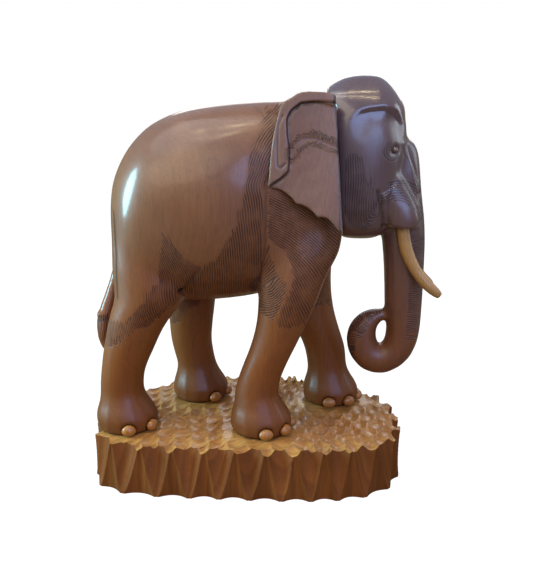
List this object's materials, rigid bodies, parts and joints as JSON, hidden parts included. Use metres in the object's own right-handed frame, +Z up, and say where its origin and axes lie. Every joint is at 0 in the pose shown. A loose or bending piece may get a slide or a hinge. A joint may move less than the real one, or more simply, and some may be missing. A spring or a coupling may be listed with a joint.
{
  "type": "carved elephant statuette",
  "caption": "Carved wooden elephant in mid stride on a gouged plinth, with curled trunk, folded ears, pale tusks and inlaid toenails.",
  "frame": {"origin": "on the plinth's underside, below the middle of the animal", "axes": "+Z up, +X the way the elephant faces, -Y its right side"},
  "size_m": [0.5758, 0.371, 0.653],
  "materials": {
    "carving_wood": "polished reddish-brown hardwood, gloss varnish",
    "plinth_wood": "same hardwood, gouged, satin varnish",
    "toenail_wood": "golden pale wood, polished",
    "tusk_wood": "pale tan wood, polished",
    "eye_wood": "small dark polished bead",
    "dowel_wood": "plain unfinished hardwood"
  },
  "bodies": {
    "root": {"plinth": "plinth_wood", "body_and_legs": "carving_wood", "head_and_trunk": "carving_wood", "right_ear": "carving_wood", "right_tusk": "tusk_wood", "right_eye": "eye_wood", "right_ear_dowel": "dowel_wood", "left_ear": "carving_wood", "left_tusk": "tusk_wood", "left_eye": "eye_wood", "left_ear_dowel": "dowel_wood", "neck_dowel_1": "dowel_wood", "neck_dowel_2": "dowel_wood", "right_hind_foot_dowel": "dowel_wood", "right_hind_toenail_1": "toenail_wood", "right_hind_toenail_2": "toenail_wood", "right_hind_toenail_3": "toenail_wood", "right_hind_toenail_4": "toenail_wood", "right_fore_foot_dowel": "dowel_wood", "right_fore_toenail_1": "toenail_wood", "right_fore_toenail_2": "toenail_wood", "right_fore_toenail_3": "toenail_wood", "right_fore_toenail_4": "toenail_wood", "right_fore_toenail_5": "toenail_wood", "left_hind_foot_dowel": "dowel_wood", "left_hind_toenail_1": "toenail_wood", "left_hind_toenail_2": "toenail_wood", "left_hind_toenail_3": "toenail_wood", "left_hind_toenail_4": "toenail_wood", "left_fore_foot_dowel": "dowel_wood", "left_fore_toenail_1": "toenail_wood", "left_fore_toenail_2": "toenail_wood", "left_fore_toenail_3": "toenail_wood", "left_fore_toenail_4": "toenail_wood", "left_fore_toenail_5": "toenail_wood"}
  },
  "joints": []
}
